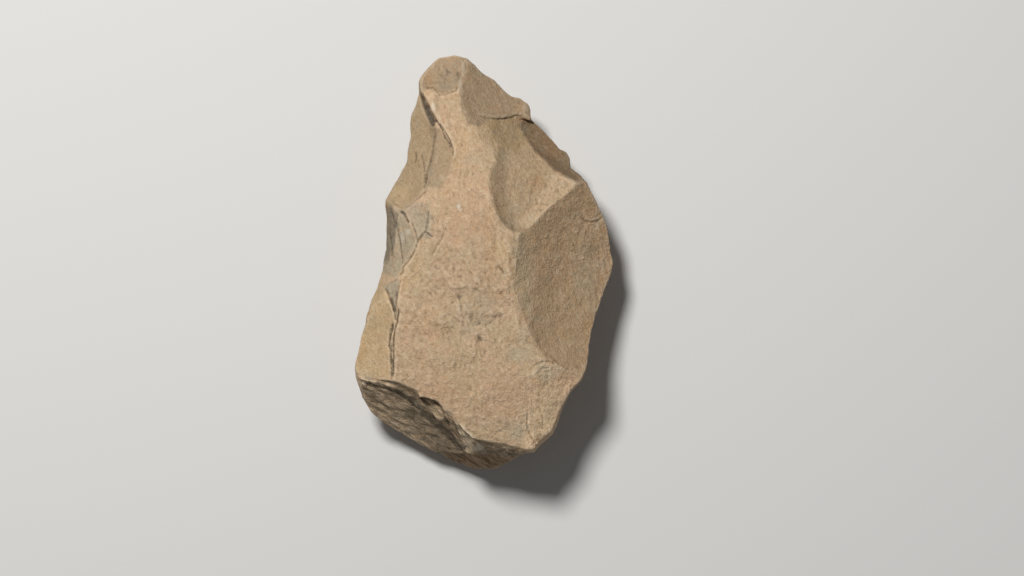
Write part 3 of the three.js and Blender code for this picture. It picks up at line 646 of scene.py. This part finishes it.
def apply_modifiers(piece):
    bpy.context.view_layer.update()
    graph = bpy.context.evaluated_depsgraph_get()
    made = bpy.data.meshes.new_from_object(piece.evaluated_get(graph))
    piece.modifiers.clear()
    old = piece.data
    piece.data = made
    bpy.data.meshes.remove(old)


def grain_relief(points, flat):
    """Noises all over the stone, and the streaks and low steps of the main face."""
    out = np.zeros(len(points))
    for number, (size, height) in enumerate(BROAD_NOISES):
        out += height * noise(points, size, SEED + number)
    rough = STEEP_SHARE + (1 - STEEP_SHARE) * flat
    for number, (size, height) in enumerate(FINE_NOISES, len(BROAD_NOISES)):
        out += rough * height * noise(points, size, SEED + number)
    warp = points[:, :2] + WARP * noise(points, WARP_SIZE, SEED + 5)[:, None]
    across = warp[:, 0] + STREAK_SLANT * warp[:, 1]
    streak = np.column_stack([across, warp[:, 1] / STREAK_LENGTH, points[:, 2] / STREAK_DEPTH])
    out += STREAK_HEIGHT * flat * noise(streak, STREAK_SIZE, SEED + 6)
    across = warp[:, 0] + STEP_SLANT * warp[:, 1]
    slanted = np.column_stack([across, STEP_SQUEEZE * warp[:, 1], points[:, 2]])
    steps = STEP_COUNT * noise(slanted, STEP_SIZE, SEED + 14)
    whole = np.floor(steps)
    steps = whole + smoothstep(0.3, 0.7, steps - whole)
    rel = (points[:, :2] - np.array(STEPS_AT)) / np.array(STEPS_HALF)
    out += STEP_DEPTH * flat * np.exp(-(rel**2).sum(axis=1)) * steps
    return out


def mark_relief(points, upper):
    """Grooves of the marks, with the stone raised or sunk on their left, and the lumps."""
    out = np.zeros(len(points))
    for crack_and_shadow in MARKS:
        near, dist, side, taper = follow(points, crack_and_shadow, MARK_MARGIN + 2 * crack_and_shadow["fall"], **GROOVE)
        taper = taper * upper[near]
        out[near] -= taper * crack_and_shadow["depth"] * np.exp(-((dist / crack_and_shadow["width"]) ** 2))
        up = smoothstep(-0.4, 0.4, side * np.abs(dist)) * np.exp(-np.abs(dist) / crack_and_shadow["fall"])
        out[near] += taper * crack_and_shadow["raised"] * up
    for rise in LUMPS:
        rel = (points[:, :2] - np.array(rise["at"])) / np.array(rise["half"])
        out += upper * rise["lift"] * np.exp(-(rel**2).sum(axis=1) * LUMP_FALL)
    return out


def layer_relief(points, steep):
    """Fine layers of the butt, on its steep faces."""
    plan = points[:, :2]
    butt = smoothstep(0.0, 1.5, inside(plan, BUTT_AREA)) * steep
    along = plan[:, 0] * math.cos(LAYER_TURN) + plan[:, 1] * math.sin(LAYER_TURN)
    across = -plan[:, 0] * math.sin(LAYER_TURN) + plan[:, 1] * math.cos(LAYER_TURN)
    for number, (size, height) in enumerate(LAYER_WANDERS):
        across = across + height * noise(points, size, SEED + 9 + number)
    layers = np.column_stack([along / LAYER_STRETCH, across, points[:, 2] * LAYER_RISE])
    out = butt * COARSE_DEPTH * noise(layers, COARSE_LAYER, SEED + 11)
    out += butt * FINE_DEPTH * noise(layers, FINE_LAYER, SEED + 12)
    out += butt * BUTT_LUMP_DEPTH * noise(points, BUTT_LUMP, SEED + 13)
    return out


def relief(points, normals):
    """How far each point moves out along its normal, in millimetres."""
    # the upper face, its flat parts and its steep parts, by how far each normal points up
    up = normals[:, 2]
    upper = smoothstep(0.05, 0.25, up)
    flat = smoothstep(0.80, 0.95, up)
    steep = upper * smoothstep(0.92, 0.75, up)
    return grain_relief(points, flat) + mark_relief(points, upper) + layer_relief(points, steep)


def weather(piece):
    """Wears the stone's surface and moves it in and out, and keeps it above the table."""
    mesh = piece.data
    points = read_points(mesh)
    edges = edges_of(mesh)
    points = average(points, edges, SMOOTH_ROUNDS)
    worn = np.zeros(len(points))
    for number, area in enumerate(WORN):
        worn = np.maximum(worn, area_share(points, area, WORN_SOFT, SEED + 40 + number))
    worn *= points[:, 2] > WORN_FROM
    smooth = average(points, edges, WORN_ROUNDS)
    points += worn[:, None] * (smooth - points)
    write_points(mesh, points)
    normals = read_normals(mesh)
    move = relief(points, normals)
    # the resting face only moves inwards
    under = smoothstep(-0.6, -0.9, normals[:, 2]) * smoothstep(*UNDER_HEIGHTS, points[:, 2])
    move = move * (1 - under) - under * UNDER_SHARE * np.abs(move)
    points += normals * move[:, None]
    points[:, 2] = np.maximum(points[:, 2], 0.0)
    write_points(mesh, points)


def float_layer(mesh, name, values):
    layer = mesh.attributes.new(name, "FLOAT", "POINT")
    layer.data.foreach_set("value", values.astype(np.float32))


def bend_layers(mesh, points, normals):
    """Ridges and hollows: how far each vertex stands out from its neighbours, near and wide."""
    edges = edges_of(mesh)
    near = average(points, edges, 2)
    wide = average(near, edges, 12)
    bend_near = average(((points - near) * normals).sum(axis=1), edges, 1)
    bend_wide = ((near - wide) * normals).sum(axis=1)
    float_layer(mesh, "ridge", np.clip(bend_wide / RIDGE_BEND, -MOST_BEND, MOST_BEND))
    float_layer(mesh, "grain", np.clip(bend_near / GRAIN_BEND, -MOST_BEND, MOST_BEND))


def crack_and_shadow_layer(mesh, points, upper):
    """The dark lines of the marks: dark in the cracks, and painted shadow along the small steps."""
    dark = np.zeros(len(points))
    for crack_and_shadow in MARKS:
        near, dist, _, taper = follow(points, crack_and_shadow, MARK_MARGIN, **DARK_LINE)
        tint = taper * crack_and_shadow["dark"] * np.exp(-((dist / (DARK_LINE_WIDTH * crack_and_shadow["width"])) ** 2))
        dark[near] = np.maximum(dark[near], tint)
    float_layer(mesh, "crack_and_shadow", dark * upper)


def colour_layers(mesh, points, upper):
    """The shade of each area, in many of them painted shade or painted light, and the share of each mineral
    colour.
    """
    shade = np.ones(len(points))
    shares = {name: np.zeros(len(points)) for name in PATCHES}
    for number, area in enumerate(AREAS):
        share = area_share(points, area["area"], area["soft"], SEED + 60 + number) * upper
        shade *= 1 + share * (area["shade"] - 1)
        for name, amount in area["patches"].items():
            shares[name] = shares[name] * (1 - share) + share * amount
    for name, patches in PATCHES.items():
        for spot in patches:
            rel = (points[:, :2] - np.array(spot["at"])) / np.array(spot["half"])
            uneven = PATCH_WANDER * noise(points, PATCH_WANDER_SIZE, SEED + 20)
            reach = np.sqrt((rel**2).sum(axis=1)) + uneven
            share = spot["share"] * smoothstep(1.3, 0.3, reach) * upper
            shares[name] = np.maximum(shares[name], share)
        float_layer(mesh, name, shares[name])
    float_layer(mesh, "shade", shade)


def tint_layers(piece):
    """Values at each vertex that the stone's material reads."""
    mesh = piece.data
    points = read_points(mesh)
    normals = read_normals(mesh)
    upper = smoothstep(0.0, 0.2, normals[:, 2])
    bend_layers(mesh, points, normals)
    crack_and_shadow_layer(mesh, points, upper)
    colour_layers(mesh, points, upper)
    float_layer(mesh, "layers", smoothstep(0.0, 1.2, inside(points[:, :2], BUTT_AREA)) * upper)


class Nodes:
    """A small helper to lay out a material's nodes."""

    def __init__(self, tree):
        self.tree = tree

    def add(self, kind, **settings):
        node = self.tree.nodes.new(kind)
        for key, value in settings.items():
            setattr(node, key, value)
        return node

    def put(self, value, socket):
        if isinstance(value, bpy.types.NodeSocket):
            self.tree.links.new(value, socket)
        else:
            socket.default_value = value

    def attribute(self, name):
        return self.add("ShaderNodeAttribute", attribute_name=name).outputs["Fac"]

    def math(self, operation, a, b=0.0):
        node = self.add("ShaderNodeMath", operation=operation)
        self.put(a, node.inputs[0])
        self.put(b, node.inputs[1])
        return node.outputs[0]

    def span(self, value, low, high, to_low=0.0, to_high=1.0):
        node = self.add("ShaderNodeMapRange", interpolation_type="SMOOTHSTEP")
        self.put(value, node.inputs["Value"])
        for name, number in zip(("From Min", "From Max", "To Min", "To Max"), (low, high, to_low, to_high)):
            node.inputs[name].default_value = number
        return node.outputs[0]

    def noise(self, where, scale, detail, rough, twist):
        node = self.add("ShaderNodeTexNoise")
        self.put(where, node.inputs["Vector"])
        node.inputs["Scale"].default_value = scale
        node.inputs["Detail"].default_value = detail
        node.inputs["Roughness"].default_value = rough
        node.inputs["Distortion"].default_value = twist
        return node.outputs["Fac"]

    def turned(self, where, turn, scale):
        """The coordinates turned about the upright and stretched."""
        node = self.add("ShaderNodeMapping", vector_type="TEXTURE")
        self.put(where, node.inputs["Vector"])
        node.inputs["Rotation"].default_value = (0.0, 0.0, turn)
        node.inputs["Scale"].default_value = scale
        return node.outputs["Vector"]

    def mix(self, share, a, b, blend="MIX"):
        node = self.add("ShaderNodeMix", data_type="RGBA", blend_type=blend)
        self.put(share, node.inputs[0])
        for value, socket in ((a, node.inputs[6]), (b, node.inputs[7])):
            if isinstance(value, tuple):
                value = (*value, 1.0)
            self.put(value, socket)
        return node.outputs[2]


def mineral_colour(nodes, noises):
    """Mottled tan with the patches of mineral colour, and the noises' tints on top."""
    blotch = noises["blotch"]
    colour = nodes.mix(nodes.span(noises["mottle"], 0.38, 0.62), TAN, PINK)
    colour = nodes.mix(nodes.attribute("yellow_patch"), colour, YELLOW)
    colour = nodes.mix(nodes.attribute("brown_patch"), colour, BROWN)
    uneven_grey = nodes.span(blotch, 0.3, 0.6, 0.6, 1.0)
    grey_share = nodes.math("MULTIPLY", nodes.attribute("grey_patch"), uneven_grey)
    colour = nodes.mix(grey_share, colour, GREY)
    uneven_orange = nodes.span(blotch, 0.35, 0.6, 0.4, 1.0)
    orange_share = nodes.math("MULTIPLY", nodes.attribute("orange_patch"), uneven_orange)
    colour = nodes.mix(orange_share, colour, ORANGE)
    for name, start, full, most, tint in NOISE_TINTS:
        colour = nodes.mix(nodes.span(noises[name], start, full, 0.0, most), colour, tint)
    return colour


def layered_colour(nodes, colour, layers, layer_share):
    """The butt's layers: dark and pale bands with a thin dark line where they meet."""
    for start, full, most, tint in LAYER_TINTS:
        band = nodes.math("MULTIPLY", nodes.span(layers, start, full, 0.0, most), layer_share)
        colour = nodes.mix(band, colour, tint)
    ledge = nodes.math("ABSOLUTE", nodes.math("SUBTRACT", layers, 0.5))
    line = nodes.math("MULTIPLY", nodes.span(ledge, LEDGE_HALF, 0.0, 0.0, LEDGE_SHARE), layer_share)
    return nodes.mix(line, colour, DARK)


def wear_and_shade_colour(nodes, colour):
    """White spots and painted highlights, pale worn ridges, painted shade in hollows, the painted shade and
    light of the areas, and the dark lines of the marks.
    """
    colour = nodes.mix(nodes.attribute("white_and_highlight_patch"), colour, WHITE_AND_HIGHLIGHT)
    for name, start, full, most, tint in BEND_TINTS:
        colour = nodes.mix(nodes.span(nodes.attribute(name), start, full, 0.0, most), colour, tint)
    shade = nodes.add("ShaderNodeCombineColor")
    for channel in shade.inputs:
        nodes.put(nodes.attribute("shade"), channel)
    colour = nodes.mix(1.0, colour, shade.outputs[0], "MULTIPLY")
    return nodes.mix(nodes.span(nodes.attribute("crack_and_shadow"), 0.20, 1.0, 0.0, CRACK_AND_SHADOW_SHARE), colour, CRACK_AND_STEP_SHADOW)


def fine_bump(nodes, noises, layers, layer_share):
    """Relief too fine for the mesh, as a bent normal."""
    bands = nodes.math("MULTIPLY", layers, layer_share)
    height = nodes.math("MULTIPLY", bands, BUMP_LAYERS)
    for name, share in BUMP_SHARES.items():
        height = nodes.math("ADD", height, nodes.math("MULTIPLY", noises[name], share))
    bump = nodes.add("ShaderNodeBump")
    bump.inputs["Strength"].default_value = 1.0
    bump.inputs["Distance"].default_value = BUMP_DEPTH
    nodes.put(height, bump.inputs["Height"])
    return bump.outputs["Normal"]


def stone_material():
    """Weathered sandstone: mottled tan, with mineral patches, dark cracks, pale ridges and fine grain, and
    painted shade and light in many areas, in hollows and along steps.
    """
    material = bpy.data.materials.new("stone")
    material.use_nodes = True
    nodes = Nodes(material.node_tree)
    where = nodes.add("ShaderNodeTexCoord").outputs["Object"]
    streaked = nodes.turned(where, STREAK_TURN, STREAK_SCALE)
    noises = {name: nodes.noise(where, *settings) for name, settings in EVEN_NOISES.items()}
    for name, settings in STREAKED_NOISES.items():
        noises[name] = nodes.noise(streaked, *settings)
    layers = nodes.noise(nodes.turned(where, LAYER_TURN, LAYER_SCALE), *LAYER_NOISE)
    layer_share = nodes.attribute("layers")

    colour = mineral_colour(nodes, noises)
    colour = layered_colour(nodes, colour, layers, layer_share)
    colour = wear_and_shade_colour(nodes, colour)
    shader = material.node_tree.nodes["Principled BSDF"]
    nodes.put(colour, shader.inputs["Base Color"])
    nodes.put(nodes.span(noises["fleck"], 0.35, 0.65, *ROUGHNESS), shader.inputs["Roughness"])
    shader.inputs["Specular IOR Level"].default_value = SHINE
    nodes.put(fine_bump(nodes, noises, layers, layer_share), shader.inputs["Normal"])
    return material


def stone_mesh():
    """The solid's mesh, welded, cut into even small faces, weathered and thinned again."""
    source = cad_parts["hand_axe"]
    mesh = source.data.copy()
    mesh.name = "stone"
    piece = bpy.data.objects.new("stone", mesh)
    bpy.context.scene.collection.objects.link(piece)
    welded = bmesh.new()
    welded.from_mesh(mesh)
    bmesh.ops.remove_doubles(welded, verts=welded.verts, dist=WELD * MM)
    welded.to_mesh(mesh)
    welded.free()
    remesh = piece.modifiers.new("even", "REMESH")
    remesh.mode = "VOXEL"
    remesh.voxel_size = VOXEL * MM
    apply_modifiers(piece)
    weather(piece)
    triangles = sum(len(p.vertices) - 2 for p in piece.data.polygons)
    thin = piece.modifiers.new("thin", "DECIMATE")
    thin.ratio = min(1.0, MOST_TRIANGLES / triangles)
    apply_modifiers(piece)
    for name in list(piece.data.attributes.keys()):
        if name.startswith("custom"):
            piece.data.attributes.remove(piece.data.attributes[name])
    return piece


def make_stone():
    piece = stone_mesh()
    tint_layers(piece)
    for polygon in piece.data.polygons:
        polygon.use_smooth = True
    piece.data.materials.clear()
    piece.data.materials.append(stone_material())
    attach(piece, "root")
    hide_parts("hand_axe")


def plain_material(name, colour, roughness):
    material = bpy.data.materials.new(name)
    material.use_nodes = True
    shader = material.node_tree.nodes["Principled BSDF"]
    shader.inputs["Base Color"].default_value = (*colour, 1.0)
    shader.inputs["Roughness"].default_value = roughness
    return material


def make_floor():
    mesh = bpy.data.meshes.new("floor")
    corners = [(-1, -1), (1, -1), (1, 1), (-1, 1)]
    mesh.from_pydata([(x * FLOOR_HALF, y * FLOOR_HALF, 0) for x, y in corners], [], [(0, 1, 2, 3)])
    floor = bpy.data.objects.new("floor", mesh)
    floor.location.z = -FLOOR_DROP
    bpy.context.scene.collection.objects.link(floor)
    mesh.materials.append(plain_material("floor", FLOOR_COLOUR, FLOOR_ROUGHNESS))


def make_camera():
    data = bpy.data.cameras.new("camera")
    data.sensor_width = SENSOR
    data.lens = LENS
    data.clip_end = CLIP_END
    camera = bpy.data.objects.new("camera", data)
    distance = FRAME_WIDTH * LENS / SENSOR
    camera.location = (*AIM, FRAME_HEIGHT_AT + distance)
    camera.rotation_euler = (0.0, 0.0, 0.0)
    bpy.context.scene.collection.objects.link(camera)
    bpy.context.scene.camera = camera


def make_lights():
    """A soft lamp from the upper left, a faint even sky, and plain colour management."""
    data = bpy.data.lights.new("key", "AREA")
    data.shape = "DISK"
    data.size = KEY_SIZE
    data.energy = KEY_POWER
    key = bpy.data.objects.new("key", data)
    key.location = KEY_WAY * KEY_DISTANCE
    key.rotation_euler = (-KEY_WAY).to_track_quat("-Z", "Y").to_euler()
    bpy.context.scene.collection.objects.link(key)
    world = bpy.data.worlds.new("studio")
    world.use_nodes = True
    background = world.node_tree.nodes["Background"]
    background.inputs["Color"].default_value = SKY_COLOUR
    background.inputs["Strength"].default_value = SKY
    bpy.context.scene.world = world
    bpy.context.scene.view_settings.view_transform = "Standard"
    bpy.context.scene.view_settings.look = "None"


make_camera()
make_lights()
make_floor()
make_stone()
